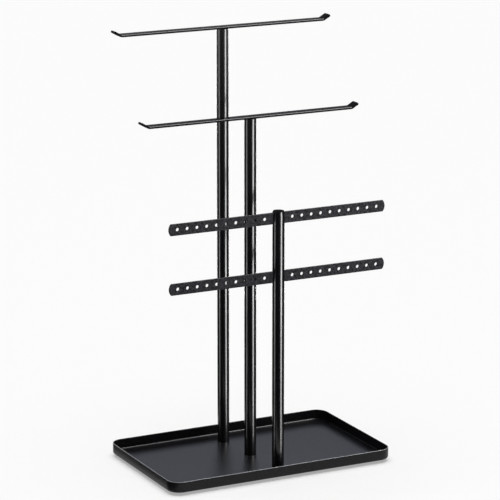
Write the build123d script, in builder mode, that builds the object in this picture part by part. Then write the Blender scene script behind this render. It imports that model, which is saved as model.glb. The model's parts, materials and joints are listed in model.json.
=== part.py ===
# Jewelry stand: three tube posts on a pressed steel tray. The rear and middle posts each carry a flat
# necklace bar with turned-up ends, and two perforated earring strips run through the front post.
# Millimetres, +Z up, +X to the right along the bars and strips, +Y to the back. The origin lies on the table,
# under the middle of the tray.

from build123d import *
import os
from math import cos, isclose, radians, sin, tan

os.makedirs("parts", exist_ok=True)

# Driving dimensions of the tray

tray_length = 261.0
tray_width = 162.0
tray_height = 12.0
tray_sheet = 1.2
tray_corner_radius = 14.0
tray_bottom_radius = 2.4
tray_rim_radius = 0.5

# Driving dimensions of the posts

post_diameter = 12.7
post_wall = 1.0
post_step_x = 5.5
post_step_y = 54.0
post_edge_radius = 0.3

# Heights above the table: the top faces of the bars and the middle lines of the strips

top_bar_height = 462.4
middle_bar_height = 375.1
upper_strip_height = 276.5
lower_strip_height = 213.7
front_post_rim = 1.0

# Driving dimensions of the necklace bars and earring strips

bar_length = 253.0
bar_width = 12.0
bar_thickness = 2.5
bar_edge_radius = 1.0
bar_tab_length = 9.0
bar_tab_angle = 30.0
bar_bend_radius = 3.0
bar_tip_radius = 1.4
strip_length = 252.0
strip_height = 12.4
strip_thickness = 1.5
strip_edge_radius = 0.25
strip_end_bulge = 2.4
earring_hole_diameter = 3.6
earring_hole_pitch = 11.1
first_earring_hole = 16.2
last_hole_margin = 8.5

# Driving dimensions of the fasteners, plugs, cap and feet

base_screw_diameter = 5.0
base_screw_grip = 10.0
base_head_diameter = 9.0
base_head_height = 1.9
base_washer_diameter = 12.0
base_washer_thickness = 0.8
bar_screw_diameter = 3.0
bar_screw_length = 12.0
bar_head_diameter = 6.0
countersink_angle = 90.0
strip_screw_diameter = 3.0
strip_screw_overhang = 1.2
strip_head_diameter = 5.5
strip_head_height = 1.9
plug_length = 15.0
cap_diameter = 12.0
cap_edge_height = 0.3
cap_dome_height = 0.3
cap_stem_length = 4.0
foot_diameter = 10.0
foot_inset = 20.0
foot_edge_radius = 0.6
recess_width = 0.8
recess_share = 0.6
recess_depth = 0.9
recess_floor = 0.4

# Clearances, all on the radius or on one side

plug_fit = 0.03
thread_fit = 0.03
swivel_fit = 0.06
slot_fit = 0.1
cap_fit = 0.1
screw_hole_clearance = 0.25
table_clearance = 0.3

# Places and sizes worked out from the driving dimensions

foot_height = base_washer_thickness + base_head_height + table_clearance
floor_z = foot_height + tray_sheet
post_radius = post_diameter / 2
bore_radius = post_radius - post_wall
rear_xy = (-post_step_x, post_step_y)
middle_xy = (0.0, 0.0)
front_xy = (post_step_x, -post_step_y)
rear_post_top = top_bar_height - bar_thickness
middle_post_top = middle_bar_height - bar_thickness
front_post_top = upper_strip_height + strip_height / 2 + front_post_rim
slot_width = strip_thickness + 2 * slot_fit


def save(built, name):
    """Label one finished piece and write its STEP file."""
    built.part.label = name
    export_step(built.part, f"parts/{name}.step")
    print(f"{name}: {len(built.part.solids())} solid, {built.part.volume:.1f} mm3")


def upright_plane(x, y, z):
    """A plane that faces the front: its own x is +X and its own y is +Z."""
    return Plane(origin=(x, y, z), x_dir=(1, 0, 0), z_dir=(0, -1, 0))


# Tray: a flat floor, an upright wall with round corners and a rounded bottom edge

with BuildPart() as tray:
    with BuildSketch(Plane.XY.offset(foot_height)):
        RectangleRounded(tray_length, tray_width, tray_corner_radius)
    extrude(amount=tray_height)
    fillet(tray.faces().sort_by(Axis.Z)[0].edges(), tray_bottom_radius)
    with BuildSketch(Plane.XY.offset(floor_z)):
        RectangleRounded(
            tray_length - 2 * tray_sheet,
            tray_width - 2 * tray_sheet,
            tray_corner_radius - tray_sheet,
        )
    extrude(amount=tray_height, mode=Mode.SUBTRACT)
    floor_face = tray.faces().filter_by(GeomType.PLANE).filter_by(Axis.Z).sort_by(Axis.Z)[1]
    fillet(floor_face.edges(), tray_bottom_radius - tray_sheet)
    fillet(tray.faces().sort_by(Axis.Z)[-1].edges(), tray_rim_radius)
    with BuildSketch(Plane.XY.offset(foot_height)):
        with Locations(rear_xy, middle_xy, front_xy):
            Circle(base_screw_diameter / 2 + screw_hole_clearance)
    extrude(amount=tray_sheet, mode=Mode.SUBTRACT)
save(tray, "tray")


# Feet: four rubber pads under the corners of the tray

def rubber_foot(x, y):
    with BuildPart() as foot:
        with BuildSketch():
            with Locations((x, y)):
                Circle(foot_diameter / 2)
        extrude(amount=foot_height)
        fillet(foot.edges().sort_by(Axis.Z)[0], foot_edge_radius)
    return foot


foot_x = tray_length / 2 - foot_inset
foot_y = tray_width / 2 - foot_inset
save(rubber_foot(-foot_x, -foot_y), "foot_front_left")
save(rubber_foot(foot_x, -foot_y), "foot_front_right")
save(rubber_foot(-foot_x, foot_y), "foot_rear_left")
save(rubber_foot(foot_x, foot_y), "foot_rear_right")


# Posts: round tubes that stand on the tray floor

def tube_post(place, top_z):
    with BuildPart() as post:
        with BuildSketch(Plane.XY.offset(floor_z)):
            with Locations(place):
                Circle(post_radius)
                Circle(bore_radius, mode=Mode.SUBTRACT)
        extrude(amount=top_z - floor_z)
        fillet(post.edges().sort_by(Axis.Z)[-2:].sort_by(SortBy.LENGTH)[-1], post_edge_radius)
    return post


save(tube_post(rear_xy, rear_post_top), "rear_post")
save(tube_post(middle_xy, middle_post_top), "middle_post")

# The front post has a notch at its top and a window lower down, where the strips pass through, and a
# hole in its back for the screw of each strip.
with BuildPart() as front_post:
    add(tube_post(front_xy, front_post_top).part)
    with BuildSketch(Plane.XY.offset(upper_strip_height - strip_height / 2 - slot_fit)):
        with Locations(front_xy):
            Rectangle(2 * post_diameter, slot_width)
    extrude(amount=strip_height + front_post_rim + slot_fit, mode=Mode.SUBTRACT)
    with BuildSketch(Plane.XY.offset(lower_strip_height - strip_height / 2 - slot_fit)):
        with Locations(front_xy):
            Rectangle(2 * post_diameter, slot_width)
    extrude(amount=strip_height + 2 * slot_fit, mode=Mode.SUBTRACT)
    with BuildSketch(upright_plane(*front_xy, 0)):
        with Locations((0, upper_strip_height), (0, lower_strip_height)):
            Circle(strip_screw_diameter / 2 + screw_hole_clearance)
    extrude(amount=-post_diameter, mode=Mode.SUBTRACT)
save(front_post, "front_post")


# Plugs: steel slugs with a threaded hole, fixed in the ends of the tubes

def threaded_plug(place, bottom_z, thread_diameter):
    with BuildPart() as plug:
        with BuildSketch(Plane.XY.offset(bottom_z)):
            with Locations(place):
                Circle(bore_radius - plug_fit)
                Circle(thread_diameter / 2 + thread_fit, mode=Mode.SUBTRACT)
        extrude(amount=plug_length)
    return plug


save(threaded_plug(rear_xy, floor_z, base_screw_diameter), "rear_post_foot_plug")
save(threaded_plug(middle_xy, floor_z, base_screw_diameter), "middle_post_foot_plug")
save(threaded_plug(front_xy, floor_z, base_screw_diameter), "front_post_foot_plug")
rear_plug_bottom = rear_post_top - plug_length
middle_plug_bottom = middle_post_top - plug_length
save(threaded_plug(rear_xy, rear_plug_bottom, bar_screw_diameter), "rear_post_head_plug")
save(threaded_plug(middle_xy, middle_plug_bottom, bar_screw_diameter), "middle_post_head_plug")


# Screws and washers that hold the posts to the tray from below

def cross_recess(head_face, head_diameter, depth):
    """The cross for the screwdriver, to be cut into the face of a screw head."""
    reach = recess_share * head_diameter
    with BuildPart() as recess:
        with BuildSketch(head_face):
            Rectangle(reach, recess_width)
            Rectangle(recess_width, reach)
        extrude(amount=-depth)
    return recess.part


def base_washer(place):
    with BuildPart() as washer:
        with BuildSketch(Plane.XY.offset(foot_height - base_washer_thickness)):
            with Locations(place):
                Circle(base_washer_diameter / 2)
                Circle(base_screw_diameter / 2 + screw_hole_clearance, mode=Mode.SUBTRACT)
        extrude(amount=base_washer_thickness)
    return washer


def base_screw(place):
    head_top = foot_height - base_washer_thickness
    head_face = Plane(origin=(*place, head_top - base_head_height), x_dir=(1, 0, 0), z_dir=(0, 0, -1))
    with BuildPart() as screw:
        with BuildSketch(Plane.XY.offset(head_top)):
            with Locations(place):
                Circle(base_screw_diameter / 2)
        extrude(amount=floor_z + base_screw_grip - head_top)
        with BuildSketch(Plane.XY.offset(head_top)):
            with Locations(place):
                Circle(base_head_diameter / 2)
        extrude(amount=-base_head_height)
        fillet(screw.edges().sort_by(Axis.Z)[0], base_head_height / 3)
        cross = cross_recess(head_face, base_head_diameter, base_head_height - recess_floor)
        add(cross, mode=Mode.SUBTRACT)
    return screw


for post_name, place in (("rear", rear_xy), ("middle", middle_xy), ("front", front_xy)):
    save(base_washer(place), f"{post_name}_post_washer")
    save(base_screw(place), f"{post_name}_post_screw")


# Necklace bars: flat bar with both ends bent up, turned about one countersunk screw in the middle

def crosses_bar(edge):
    """True for a straight edge that runs across the bar's width or through its thickness."""
    spans = (bar_width, bar_thickness)
    return edge.geom_type == GeomType.LINE and any(isclose(edge.length, span) for span in spans)


def necklace_bar(place, top_z):
    run = cos(radians(bar_tab_angle))
    climb = sin(radians(bar_tab_angle))
    tip_x = bar_length / 2 - climb * bar_thickness / 2 + bar_edge_radius * (run + climb - 1)
    bend_x = tip_x - run * bar_tab_length
    rise = climb * bar_tab_length
    with BuildPart() as bar:
        with BuildSketch(upright_plane(*place, top_z - bar_thickness / 2)):
            with BuildLine():
                FilletPolyline(
                    (-tip_x, rise), (-bend_x, 0), (bend_x, 0), (tip_x, rise), radius=bar_bend_radius
                )
            trace(line_width=bar_thickness)
        extrude(amount=bar_width / 2, both=True)
        faces_along = bar.faces().sort_by(Axis.X)
        tip_edges = faces_along[0].edges() + faces_along[-1].edges()
        fillet(tip_edges.filter_by(Axis.Y, reverse=True), bar_tip_radius)
        fillet(bar.edges().filter_by(lambda edge: not crosses_bar(edge)), bar_edge_radius)
        with Locations((*place, top_z)):
            CounterSinkHole(
                bar_screw_diameter / 2 + swivel_fit,
                bar_head_diameter / 2 + swivel_fit,
                counter_sink_angle=countersink_angle,
            )
    return bar


def countersunk_screw(place, top_z):
    """The screw on which a bar turns; its head lies flush in the bar's countersink."""
    head_radius = bar_head_diameter / 2
    shank_radius = bar_screw_diameter / 2
    cone_height = (head_radius - shank_radius) / tan(radians(countersink_angle / 2))
    with BuildPart() as screw:
        with BuildSketch(upright_plane(*place, top_z)):
            with BuildLine():
                Polyline(
                    (0, 0),
                    (head_radius, 0),
                    (shank_radius, -cone_height),
                    (shank_radius, -bar_screw_length),
                    (0, -bar_screw_length),
                    close=True,
                )
            make_face()
        revolve(axis=Axis((*place, 0), (0, 0, 1)))
        head_face = Plane(origin=(*place, top_z))
        add(cross_recess(head_face, bar_head_diameter, recess_depth), mode=Mode.SUBTRACT)
    return screw


save(necklace_bar(rear_xy, top_bar_height), "top_bar")
save(necklace_bar(middle_xy, middle_bar_height), "middle_bar")
save(countersunk_screw(rear_xy, top_bar_height), "top_bar_screw")
save(countersunk_screw(middle_xy, middle_bar_height), "middle_bar_screw")


# Earring strips: flat strips with arched ends and a row of holes on each side of the post

strip_half = strip_length / 2
corner_x = strip_half - strip_end_bulge
holes_per_side = int((strip_half - last_hole_margin - first_earring_hole) / earring_hole_pitch) + 1
hole_offsets = [first_earring_hole + step * earring_hole_pitch for step in range(holes_per_side)]


def earring_strip(middle_z):
    x, y = front_xy
    edge = strip_height / 2
    with BuildPart() as strip:
        with BuildSketch(upright_plane(x, y, middle_z)):
            with BuildLine():
                Line((-corner_x, edge), (corner_x, edge))
                ThreePointArc((corner_x, edge), (strip_half, 0), (corner_x, -edge))
                Line((corner_x, -edge), (-corner_x, -edge))
                ThreePointArc((-corner_x, -edge), (-strip_half, 0), (-corner_x, edge))
            make_face()
        extrude(amount=strip_thickness / 2, both=True)
        broad_faces = strip.faces().sort_by(Axis.Y)
        fillet(broad_faces[0].edges() + broad_faces[-1].edges(), strip_edge_radius)
        with BuildSketch(upright_plane(x, y, middle_z)):
            with Locations([(side * offset_x, 0) for side in (-1, 1) for offset_x in hole_offsets]):
                Circle(earring_hole_diameter / 2)
            Circle(strip_screw_diameter / 2 + thread_fit)
        extrude(amount=strip_thickness, both=True, mode=Mode.SUBTRACT)
    return strip


def strip_screw(middle_z):
    """Pan-head screw from behind the front post, through its wall and the strip."""
    x, y = front_xy
    head_seat = y + post_radius
    shank_length = post_radius + strip_thickness / 2 + strip_screw_overhang
    with BuildPart() as screw:
        with BuildSketch(upright_plane(x, head_seat, middle_z)):
            Circle(strip_screw_diameter / 2)
        extrude(amount=shank_length)
        with BuildSketch(upright_plane(x, head_seat, middle_z)):
            Circle(strip_head_diameter / 2)
        extrude(amount=-strip_head_height)
        fillet(screw.edges().sort_by(Axis.Y)[-1], strip_head_height / 3)
        head_face = Plane(origin=(x, head_seat + strip_head_height, middle_z), z_dir=(0, 1, 0))
        add(cross_recess(head_face, strip_head_diameter, recess_depth), mode=Mode.SUBTRACT)
    return screw


save(earring_strip(upper_strip_height), "upper_earring_strip")
save(earring_strip(lower_strip_height), "lower_earring_strip")
save(strip_screw(upper_strip_height), "upper_strip_screw")
save(strip_screw(lower_strip_height), "lower_strip_screw")


# Cap: a domed plug in the top of the front post; its stem is forked, one leg each side of the strip

cap_radius = cap_diameter / 2
with BuildPart() as front_post_cap:
    with BuildSketch(Plane.XY.offset(front_post_top)):
        with Locations(front_xy):
            Circle(bore_radius - cap_fit)
    extrude(amount=-cap_stem_length)
    with BuildSketch(Plane.XY.offset(front_post_top - front_post_rim + slot_fit)):
        with Locations(front_xy):
            Rectangle(post_diameter, slot_width)
    extrude(amount=-cap_stem_length, mode=Mode.SUBTRACT)
    with BuildSketch(upright_plane(*front_xy, front_post_top)):
        with BuildLine():
            TangentArc((0, cap_edge_height + cap_dome_height), (cap_radius, cap_edge_height), tangent=(1, 0))
            Polyline(
                (cap_radius, cap_edge_height),
                (cap_radius, 0),
                (0, 0),
                (0, cap_edge_height + cap_dome_height),
            )
        make_face()
    revolve(axis=Axis((*front_xy, 0), (0, 0, 1)))
save(front_post_cap, "front_post_cap")
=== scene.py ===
# %% [markdown]
# # A jewelry stand in black powder coat
#
# The stand is three steel tubes on a pressed steel tray, with two flat bars and two drilled strips.
# Its shapes come finished from CAD. What is left for Blender is what the eye reads as steel under a
# baked black skin: the finishes, the lamps, the floor and the camera. We load the model first and
# keep the size of the box around it.

# %% Load the model
import bpy
import json
from math import pi, radians
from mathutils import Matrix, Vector

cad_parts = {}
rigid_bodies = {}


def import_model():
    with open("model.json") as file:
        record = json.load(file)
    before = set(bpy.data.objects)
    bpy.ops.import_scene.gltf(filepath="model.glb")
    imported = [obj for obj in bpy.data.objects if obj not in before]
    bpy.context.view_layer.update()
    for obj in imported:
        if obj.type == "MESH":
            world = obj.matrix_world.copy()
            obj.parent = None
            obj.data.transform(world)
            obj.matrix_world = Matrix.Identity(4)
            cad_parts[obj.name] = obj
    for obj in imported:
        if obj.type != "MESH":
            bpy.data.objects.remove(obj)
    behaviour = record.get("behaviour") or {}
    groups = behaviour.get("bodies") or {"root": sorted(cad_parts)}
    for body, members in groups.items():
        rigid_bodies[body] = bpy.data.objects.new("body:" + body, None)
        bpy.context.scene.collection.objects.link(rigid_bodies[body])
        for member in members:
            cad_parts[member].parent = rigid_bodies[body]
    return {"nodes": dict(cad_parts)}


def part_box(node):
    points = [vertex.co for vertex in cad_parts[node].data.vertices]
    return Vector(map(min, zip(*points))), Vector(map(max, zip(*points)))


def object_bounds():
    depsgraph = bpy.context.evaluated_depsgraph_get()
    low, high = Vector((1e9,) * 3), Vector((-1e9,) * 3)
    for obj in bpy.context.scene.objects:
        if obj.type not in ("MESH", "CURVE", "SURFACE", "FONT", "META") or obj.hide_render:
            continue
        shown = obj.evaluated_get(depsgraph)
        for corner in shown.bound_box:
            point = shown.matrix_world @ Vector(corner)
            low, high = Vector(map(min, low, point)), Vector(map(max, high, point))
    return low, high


for leftover in list(bpy.data.objects):
    bpy.data.objects.remove(leftover)
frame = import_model()
cad_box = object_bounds()
nodes = frame["nodes"]
size_mm = [round(1000 * side, 1) for side in cad_box[1] - cad_box[0]]
print(len(nodes), "pieces, overall size in mm:", size_mm)

# %% [markdown]
# ## Helpers
#
# A hex colour is what a painter's chart or a colour picker gives, and it is sRGB. Blender's shaders
# count in linear light, so one function turns one into the other. Materials are built from nodes, and
# a second function adds a node, sets its sockets and joins it to the nodes before it. That keeps each
# recipe down to one step for each node. Two more start an empty material and turn the real size of a
# pattern in millimetres into the scale of a noise.

# %% Helpers for colours and nodes
def linear(hex_colour):
    """Turn an sRGB colour such as "#1a1a1c" into the linear colour that shaders use."""
    def channel(text):
        value = int(text, 16) / 255
        return value / 12.92 if value <= 0.04045 else ((value + 0.055) / 1.055) ** 2.4
    return (*(channel(hex_colour[i:i + 2]) for i in (1, 3, 5)), 1.0)


def add_node(tree, kind, sockets=None, **fields):
    """Add a node. A socket is given a value, or a pair of a node and the name of its output."""
    node = tree.nodes.new(kind)
    for field, value in fields.items():
        setattr(node, field, value)
    for socket, value in (sockets or {}).items():
        if isinstance(value, tuple) and isinstance(value[0], bpy.types.Node):
            tree.links.new(value[0].outputs[value[1]], node.inputs[socket])
        else:
            node.inputs[socket].default_value = value
    return node


def new_material(name):
    """An empty material with its object coordinates, which are metres in the model's own frame."""
    material = bpy.data.materials.new(name)
    material.use_nodes = True
    material.node_tree.nodes.clear()
    place = add_node(material.node_tree, "ShaderNodeTexCoord")
    return material, material.node_tree, (place, "Object")


def pattern_scale(size_mm):
    """The scale at which a noise in metres has features of this size."""
    return 1000 / size_mm


noise_low, noise_high = 0.3, 0.7  # nearly all the values of a noise lie between these
print("linear value of #808080:", round(linear("#808080")[0], 3))

# %% [markdown]
# ## Satin black powder coat
#
# The stand is coated with polyester powder that is sprayed on dry and baked until it melts together.
# It is a plastic skin on steel, so it is not metallic, and its IOR is that of polyester, about 1.5. The
# melted grains never flow quite flat. They leave a faint orange peel, waves 2 to 4 mm long and at most a
# few hundredths of a millimetre high, under a finer grit of about 1 mm, and the coat is a little thinner
# and greyer between the waves. The eye sees it as a soft, slightly restless edge on each highlight. A
# flat colour with one roughness would look like black plastic film, so colour, roughness and bump all
# come from noise. The tubes are drawn smooth and keep tight highlights, the bars are nearly as smooth,
# and the pressed tray and the punched strips take a coarser, duller coat, so the recipe takes its
# colours, its roughness and its peel as values.
#
# A fine light grey line along the outer edge of the tray's rim is a painted highlight. It is painted into
# the coat's colour and stands in for the gloss of the rounded edge under the box above. It is found by
# height, and by a surface that faces away from the middle of the tray.

# %% Powder coat
def painted_rim_highlight_mask(tree, place, from_height_mm, to_height_mm):
    """Where the painted rim highlight lies: 1 on the outer side of the rim above these heights, and 0
    elsewhere.
    """
    outward_from, outward_to = 0.02, 0.04  # metres from the middle; the inner side's are below zero
    height = add_node(tree, "ShaderNodeSeparateXYZ", {"Vector": place})
    above = add_node(tree, "ShaderNodeMapRange", {
        "Value": (height, "Z"), "From Min": from_height_mm / 1000, "From Max": to_height_mm / 1000})
    facing = add_node(tree, "ShaderNodeTexCoord")
    outward = add_node(tree, "ShaderNodeVectorMath", {0: place, 1: (facing, "Normal")},
                       operation="DOT_PRODUCT")
    outside = add_node(tree, "ShaderNodeMapRange", {
        "Value": (outward, "Value"), "From Min": outward_from, "From Max": outward_to})
    return add_node(tree, "ShaderNodeMath", {0: (above, "Result"), 1: (outside, "Result")},
                    operation="MULTIPLY")


polyester_ior = 1.5
# light grey of the painted highlight along the outer edge of the tray's rim, not a colour of the coat
painted_rim_highlight_grey = "#9a9a9e"
grit_mm = 1.1
peel_low, peel_high = 0.35, 0.65
gloss_swing = 0.08


def powder_coat(name, roughness, specular, peel_mm, peel_height_mm, grit_height_mm,
                colour="#060608", thin_colour="#0b0b0f", highlight_rim_mm=None):
    """The coat. The heights in millimetres, if given, are where a painted highlight lines the outer rim."""
    material, tree, place = new_material(name)
    grit = add_node(tree, "ShaderNodeTexNoise", {
        "Vector": place, "Scale": pattern_scale(grit_mm), "Detail": 2.0})
    peel = add_node(tree, "ShaderNodeTexNoise", {
        "Vector": place, "Scale": pattern_scale(peel_mm), "Detail": 1.0})
    between_waves = add_node(tree, "ShaderNodeMapRange", {
        "Value": (peel, "Fac"), "From Min": peel_low, "From Max": peel_high})
    tone = add_node(tree, "ShaderNodeMix", {
        "Factor": (between_waves, "Result"), "A": linear(colour), "B": linear(thin_colour)}, data_type="RGBA")
    if highlight_rim_mm:
        rim_highlight = painted_rim_highlight_mask(tree, place, *highlight_rim_mm)
        # painted highlight: a light grey line mixed into the colour on the outer side of the rim
        tone = add_node(tree, "ShaderNodeMix", {
            "Factor": (rim_highlight, "Value"), "A": (tone, "Result"), "B": linear(painted_rim_highlight_grey)},
            data_type="RGBA")
    gloss = add_node(tree, "ShaderNodeMapRange", {
        "Value": (grit, "Fac"), "From Min": noise_low, "From Max": noise_high,
        "To Min": (1 - gloss_swing) * roughness, "To Max": (1 + gloss_swing) * roughness})
    waves = add_node(tree, "ShaderNodeBump", {
        "Height": (peel, "Fac"), "Strength": 1.0, "Distance": peel_height_mm / 1000})
    skin = add_node(tree, "ShaderNodeBump", {
        "Height": (grit, "Fac"), "Strength": 1.0, "Distance": grit_height_mm / 1000,
        "Normal": (waves, "Normal")})
    shader = add_node(tree, "ShaderNodeBsdfPrincipled", {
        "Base Color": (tone, "Result"), "Roughness": (gloss, "Result"), "IOR": polyester_ior,
        "Specular IOR Level": specular, "Normal": (skin, "Normal")})
    add_node(tree, "ShaderNodeOutputMaterial", {"Surface": (shader, "BSDF")})
    return material


def dress(material, *names):
    """Give a material to CAD nodes through the slots of their objects."""
    for name in names:
        for slot in nodes[name].material_slots:
            slot.material = material
    print(material.name, "on", ", ".join(names))


posts = ("rear_post", "middle_post", "front_post")
bars = ("top_bar", "middle_bar")
strips = ("upper_earring_strip", "lower_earring_strip")
dress(powder_coat("powder_coat_on_tube", roughness=0.21, specular=0.4,
                  peel_mm=4.0, peel_height_mm=0.0008, grit_height_mm=0.0002), *posts)
dress(powder_coat("powder_coat_on_bar", roughness=0.16, specular=0.24,
                  peel_mm=2.6, peel_height_mm=0.004, grit_height_mm=0.001), *bars)
dress(powder_coat("powder_coat_on_strip", roughness=0.45, specular=0.4,
                  peel_mm=2.2, peel_height_mm=0.03, grit_height_mm=0.008,
                  colour="#111115", thin_colour="#34343a"), *strips)
# the tray's outer rim carries a painted highlight, a light grey line in its colour
dress(powder_coat("powder_coat_on_tray", roughness=0.35, specular=0.24,
                  peel_mm=3.0, peel_height_mm=0.015, grit_height_mm=0.006,
                  colour="#050507", thin_colour="#101014", highlight_rim_mm=(14.5, 14.8)), "tray")

# %% [markdown]
# ## Steel screws and plugs
#
# The screws that can be seen are black zinc steel, and the ones under the tray are bright zinc with a
# slightly blue cast. Both are real metals to the shader, with metallic at 1 and the IOR left alone. A
# zinc bath leaves the surface cloudy over a few millimetres, and turning leaves fine rings around each
# head. A wave texture could draw the rings, but under the tray they would be finer than a pixel, so
# cloudy roughness and a little grit are enough.

# %% Plated steel
def plated_steel(name, colour, cloud_colour, roughness):
    cloud_mm, grit_mm, grit_height_mm, gloss_swing = 3, 0.5, 0.003, 0.08
    material, tree, place = new_material(name)
    clouds = add_node(tree, "ShaderNodeTexNoise", {
        "Vector": place, "Scale": pattern_scale(cloud_mm), "Detail": 4.0})
    tone = add_node(tree, "ShaderNodeMix", {
        "Factor": (clouds, "Fac"), "A": linear(colour), "B": linear(cloud_colour)}, data_type="RGBA")
    gloss = add_node(tree, "ShaderNodeMapRange", {
        "Value": (clouds, "Fac"), "From Min": noise_low, "From Max": noise_high,
        "To Min": roughness - gloss_swing, "To Max": roughness + gloss_swing})
    grit = add_node(tree, "ShaderNodeTexNoise", {
        "Vector": place, "Scale": pattern_scale(grit_mm), "Detail": 2.0})
    skin = add_node(tree, "ShaderNodeBump", {
        "Height": (grit, "Fac"), "Strength": 1.0, "Distance": grit_height_mm / 1000})
    shader = add_node(tree, "ShaderNodeBsdfPrincipled", {
        "Base Color": (tone, "Result"), "Metallic": 1.0, "Roughness": (gloss, "Result"),
        "Normal": (skin, "Normal")})
    add_node(tree, "ShaderNodeOutputMaterial", {"Surface": (shader, "BSDF")})
    return material


dress(plated_steel("black_zinc_steel", "#26262a", "#323238", roughness=0.38),
      "top_bar_screw", "middle_bar_screw", "upper_strip_screw", "lower_strip_screw")
dress(plated_steel("bright_zinc_steel", "#b4b9bf", "#c9ccce", roughness=0.3),
      *(f"{post}_{piece}" for post in posts for piece in ("screw", "washer", "foot_plug")),
      "rear_post_head_plug", "middle_post_head_plug")

# %% [markdown]
# ## Moulded plastic and rubber
#
# The cap on the front post is moulded polyethylene, a waxy plastic with an IOR of about 1.51, and its
# mould leaves an even, fine texture. The feet are moulded rubber, IOR about 1.52, which is duller and a
# little uneven. Such a matt texture traps much of the light that a smooth skin would mirror, which is
# why the specular level is low. The two differ in how rough they are and how coarse the mould's texture
# is, so one recipe with values for both will do.

# %% Moulded pieces
def moulded(name, colour, worn_colour, ior, roughness, texture_mm, texture_height_mm):
    wear_mm, gloss_swing, matt_specular = 6, 0.05, 0.2
    material, tree, place = new_material(name)
    wear = add_node(tree, "ShaderNodeTexNoise", {
        "Vector": place, "Scale": pattern_scale(wear_mm), "Detail": 4.0})
    tone = add_node(tree, "ShaderNodeMix", {
        "Factor": (wear, "Fac"), "A": linear(colour), "B": linear(worn_colour)}, data_type="RGBA")
    texture = add_node(tree, "ShaderNodeTexNoise", {
        "Vector": place, "Scale": pattern_scale(texture_mm), "Detail": 2.0})
    gloss = add_node(tree, "ShaderNodeMapRange", {
        "Value": (texture, "Fac"), "From Min": noise_low, "From Max": noise_high,
        "To Min": roughness - gloss_swing, "To Max": roughness + gloss_swing})
    skin = add_node(tree, "ShaderNodeBump", {
        "Height": (texture, "Fac"), "Strength": 1.0, "Distance": texture_height_mm / 1000})
    shader = add_node(tree, "ShaderNodeBsdfPrincipled", {
        "Base Color": (tone, "Result"), "IOR": ior, "Specular IOR Level": matt_specular,
        "Roughness": (gloss, "Result"), "Normal": (skin, "Normal")})
    add_node(tree, "ShaderNodeOutputMaterial", {"Surface": (shader, "BSDF")})
    return material


dress(moulded("moulded_black_polyethylene", "#050506", "#09090a", ior=1.51, roughness=0.5,
              texture_mm=0.6, texture_height_mm=0.01), "front_post_cap")
dress(moulded("moulded_black_rubber", "#151516", "#1e1e1f", ior=1.52, roughness=0.75,
              texture_mm=0.8, texture_height_mm=0.02),
      "foot_front_left", "foot_front_right", "foot_rear_left", "foot_rear_right")

# %% [markdown]
# ## The floor
#
# A photographer would stand this on a wide sheet of matt white paper. A plane of 40 m needs no wall
# behind the stand, because the camera looks down on it, and the stand can be turned and looked at from
# any side. Paper is matt and very slightly fibrous. More light would make it whiter, but it would also
# change the stand. Instead the paper itself shows part of its white to the camera, and to gloss and
# glass as well, so that they show the same background. The rest is lit paper, which keeps the shadow.
#
# A photographer of black gloss also lays black cards on the table, because the tubes mirror the table
# and would look grey. The one in front darkens the middle of each tube, those on the right and behind its
# edges, and the one on the left the side of the tray. The cards here show only in gloss, with no shadow.

# %% Paper floor and black cards
def matt_sheet(name, colour, shaded_colour, glow):
    """Paper or card. It shows this share of its own colour, and is lit for the rest."""
    fibre_mm, matt_roughness, matt_specular = 8, 0.9, 0.1
    material, tree, place = new_material(name)
    fibres = add_node(tree, "ShaderNodeTexNoise", {
        "Vector": place, "Scale": pattern_scale(fibre_mm), "Detail": 5.0})
    tone = add_node(tree, "ShaderNodeMix", {
        "Factor": (fibres, "Fac"), "A": linear(colour), "B": linear(shaded_colour)}, data_type="RGBA")
    lit = add_node(tree, "ShaderNodeBsdfPrincipled", {
        "Base Color": (tone, "Result"), "Roughness": matt_roughness, "Specular IOR Level": matt_specular})
    white = add_node(tree, "ShaderNodeEmission", {"Color": linear(colour), "Strength": 1.0})
    ray = add_node(tree, "ShaderNodeLightPath")
    seen = add_node(tree, "ShaderNodeMath", {0: (ray, "Is Camera Ray"), 1: (ray, "Is Glossy Ray")},
                    operation="ADD")
    seen = add_node(tree, "ShaderNodeMath", {0: (seen, "Value"), 1: (ray, "Is Transmission Ray")},
                    operation="ADD", use_clamp=True)
    share = add_node(tree, "ShaderNodeMath", {0: (seen, "Value"), 1: glow}, operation="MULTIPLY")
    surface = add_node(tree, "ShaderNodeMixShader", {
        0: (share, "Value"), 1: (lit, "BSDF"), 2: (white, "Emission")})
    add_node(tree, "ShaderNodeOutputMaterial", {"Surface": (surface, "Shader")})
    return material


def lay_sheet(name, material, x_from, x_to, y_from, y_to, z):
    """Lay a flat sheet between these places, in metres. It is no part of the stand."""
    corners = [(x_from, y_from, z), (x_to, y_from, z), (x_to, y_to, z), (x_from, y_to, z)]
    mesh = bpy.data.meshes.new(name)
    mesh.from_pydata(corners, [], [(0, 1, 2, 3)])
    mesh.materials.append(material)
    sheet = bpy.data.objects.new(name, mesh)
    bpy.context.scene.collection.objects.link(sheet)
    print(f"{name}: {x_to - x_from:.1f} x {y_to - y_from:.1f} m")
    return sheet


paper = matt_sheet("matt_white_paper", "#f7f7f6", "#f4f4f3", glow=0.4)
black = matt_sheet("matt_black_card", "#0a0a0a", "#0e0e0e", glow=0)
floor = lay_sheet("paper_floor", paper, -20, 20, -20, 20, 0)
on_paper, on_card = 0.002, 0.003  # metres; the card on the right overlaps the one in front
for card in (lay_sheet("black_card_in_front", black, -2.4, 0.7, -2.6, -0.16, on_paper),
             lay_sheet("black_card_on_the_left", black, -2.4, -0.1385, -0.15, 0.14, on_paper),
             lay_sheet("black_card_on_the_right", black, 0.16, 2.4, -1.0, 0.14, on_card),
             lay_sheet("black_card_behind", black, -2.4, 2.0, 0.15, 2.4, on_paper)):
    card.visible_camera = card.visible_diffuse = card.visible_transmission = card.visible_shadow = False

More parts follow.
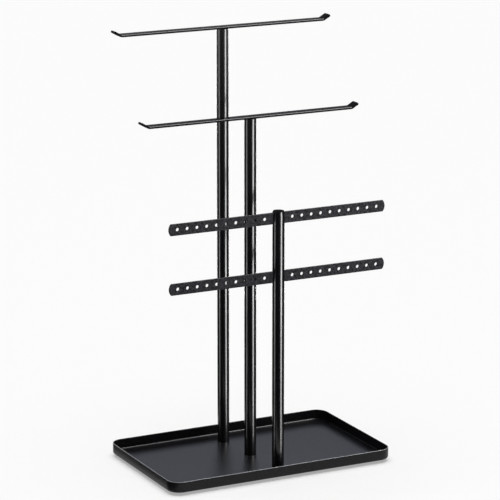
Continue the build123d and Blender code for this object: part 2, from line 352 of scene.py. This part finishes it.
# %% [markdown]
# ## The lamps
#
# Black gloss shows nothing but what it reflects, so the lamps draw the stand. A tall strip box on the
# right and a weaker one on the left each draw one upright streak on each tube, with near black between
# them. The camera looks down, so the lower part of a tube mirrors what is low and near: each streak
# goes on in a row of small boxes towards the tube, which from there look about as wide as the tall
# one. A box so near shows in another direction from each tube, so each has its own rows, and its
# streaks stand straight. A third row behind does the same for someone who looks from the back. A large
# box high at the front right draws the thin lines along the rounded edges and in the crease of the
# tray. One low behind the stand gives the tray floor its soft sheen, dark under the back wall and
# lighter in front, in the slightly blue cast of daylight.
#
# In a studio, black flags keep each box off what it isn't for. Here light linking does that: every
# lamp names the pieces that it lights. The boxes that gloss sees and those that light matt surfaces are
# separate lamps, so the second stay at a plain level. A lamp's brightness is set as the radiance of its
# face, and the watts follow from its area, so a wider box isn't also a brighter one. The floor has a
# broad, even daylight of its own from above, the same at every distance. It draws the soft shadow.

# %% Softboxes
def group_of(name, objects):
    """A collection of objects that a lamp can be linked to."""
    group = bpy.data.collections.new(name)
    for item in objects:
        group.objects.link(item)
    return group


def softbox(name, pieces, place, target, width, height, radiance, gloss=False, colour="#ffffff"):
    """A lamp that lights the matt surfaces of some pieces or, with gloss=True, shows in their gloss."""
    lamp = bpy.data.lights.new(name, "AREA")
    lamp.shape = "RECTANGLE"
    lamp.size, lamp.size_y = width, height
    lamp.color = linear(colour)[:3]
    lamp.energy = radiance * pi * width * height
    box = bpy.data.objects.new(name, lamp)
    box.location = place
    box.rotation_euler = (Vector(target) - Vector(place)).to_track_quat("-Z", "Y").to_euler()
    box.visible_camera, box.visible_diffuse, box.visible_glossy = False, not gloss, gloss
    box.light_linking.receiver_collection = pieces
    bpy.context.scene.collection.objects.link(box)
    print(f"{name}: {width:.3f} x {height:.3f} m, {lamp.energy:.3f} W")


stand = group_of("stand", nodes.values())
middle_height, strip_width, strip_height = 0.33, 0.22, 0.62
middle = (0, 0, middle_height)
softbox("right_box", stand, (0.352, -0.567, middle_height), middle, strip_width, strip_height,
        radiance=4)
softbox("left_box", stand, (-0.72, 0.115, middle_height), middle, strip_width, strip_height,
        radiance=2.2)
softbox("overhead_box", stand, (0.1, 0.1, 3.2), (0.1, 0.1, 0), 2.6, 2.6, radiance=3.3)

# %% Daylight on the floor
daylight = bpy.data.lights.new("floor_daylight", "SUN")
daylight.energy, daylight.angle = 3.1, radians(60)
sky = bpy.data.objects.new("floor_daylight", daylight)
sky.visible_glossy = False
sky.light_linking.receiver_collection = group_of("floor_alone", [floor])
bpy.context.scene.collection.objects.link(sky)
print("floor daylight:", daylight.energy, "W per square metre")

# %% Boxes that only gloss sees
alone = {name: group_of(f"{name}_alone", [nodes[name]]) for name in (*posts, "tray")}
flat_pieces = group_of("flat_pieces", [nodes[name] for name in ("tray", *bars, *strips)])
off_the_floor = 0.001
streak_boxes = (  # metres away, metres high, and share of the tall box's spread and brightness
    (0.64, 0.62, 1.0), (0.37, 0.105, 0.85), (0.215, 0.055, 0.75), (0.13, 0.035, 0.65), (0.07, 0.022, 0.5))


def streak_row(name, post, direction, spread, radiance):
    """For one post, a tall box and smaller ones before it, each lower, nearer, narrower and weaker."""
    low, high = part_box(post)
    x, y = (low[0] + high[0]) / 2, (low[1] + high[1]) / 2
    for step, (away, height, share) in enumerate(streak_boxes):
        centre = height / 2 + off_the_floor
        place = (x + away * direction[0], y + away * direction[1], centre)
        softbox(f"{post}_{name}_{step}", alone[post], place, (x, y, centre),
                spread * away * share, height, radiance * share, gloss=True)


for post in posts:
    streak_row("right_streak", post, (0.527, -0.85), spread=0.42, radiance=20.5)
    streak_row("left_streak", post, (-0.987, 0.157), spread=0.24, radiance=7)
    streak_row("back_streak", post, (0.454, 0.891), spread=0.3, radiance=14)
softbox("front_right_gloss", flat_pieces, (1.6, -0.95, 3.0), (0, 0, 0.2), 1.7, 2.2,
        radiance=26, gloss=True)
softbox("back_gloss", alone["tray"], (0.9, 1.9, 0.95), (0, 0, 0), 2.4, 0.7,
        radiance=0.98, gloss=True, colour="#e6edff")

# %% [markdown]
# ## The room
#
# The room around the stand is dim and very slightly blue, so that the tops of the bars stay dark. Far
# away its wall is pale up to a few degrees above the floor, which is all of it that a level camera
# sees behind the stand. A direction's height above the floor is the Z of the world's own coordinates.

# %% Room
wall_top, wall_fade = 0.12, 0.07
dim_strength, pale_strength = 0.12, 1.0
world = bpy.data.worlds.new("studio_room")
bpy.context.scene.world = world
world.use_nodes = True
room = world.node_tree
room.nodes.clear()
direction = add_node(room, "ShaderNodeTexCoord")
height = add_node(room, "ShaderNodeSeparateXYZ", {"Vector": (direction, "Generated")})
wall = add_node(room, "ShaderNodeMapRange", {
    "Value": (height, "Z"), "From Min": wall_top, "From Max": wall_fade})
dim = add_node(room, "ShaderNodeBackground", {"Color": linear("#f2f5ff"), "Strength": dim_strength})
pale = add_node(room, "ShaderNodeBackground", {"Color": linear("#fbfbfa"), "Strength": pale_strength})
seen_room = add_node(room, "ShaderNodeMixShader", {
    0: (wall, "Result"), 1: (dim, "Background"), 2: (pale, "Background")})
add_node(room, "ShaderNodeOutputWorld", {"Surface": (seen_room, "Shader")})
bpy.context.scene.view_settings.view_transform = "Standard"

# %% [markdown]
# ## The camera
#
# The view is that of a long lens from the front, a little to the left and a little above the stand. Far
# away and long, it keeps the upright tubes nearly parallel. Its place and angle are numbers that were
# worked out so that the corners of the model fall where they should in the frame.

# %% Camera
lens_mm, sensor_mm = 198.4, 36.0
yaw, pitch = -26.809, 14.009
standpoint = (-1.27501, -2.52245, 0.93580)
lens = bpy.data.cameras.new("camera")
lens.lens, lens.sensor_width = lens_mm, sensor_mm
camera = bpy.data.objects.new("camera", lens)
camera.location = standpoint
camera.rotation_euler = (radians(90 - pitch), 0, radians(yaw))
bpy.context.scene.collection.objects.link(camera)
bpy.context.scene.camera = camera
print("camera at", [round(value, 3) for value in camera.location], "lens", lens_mm, "mm")
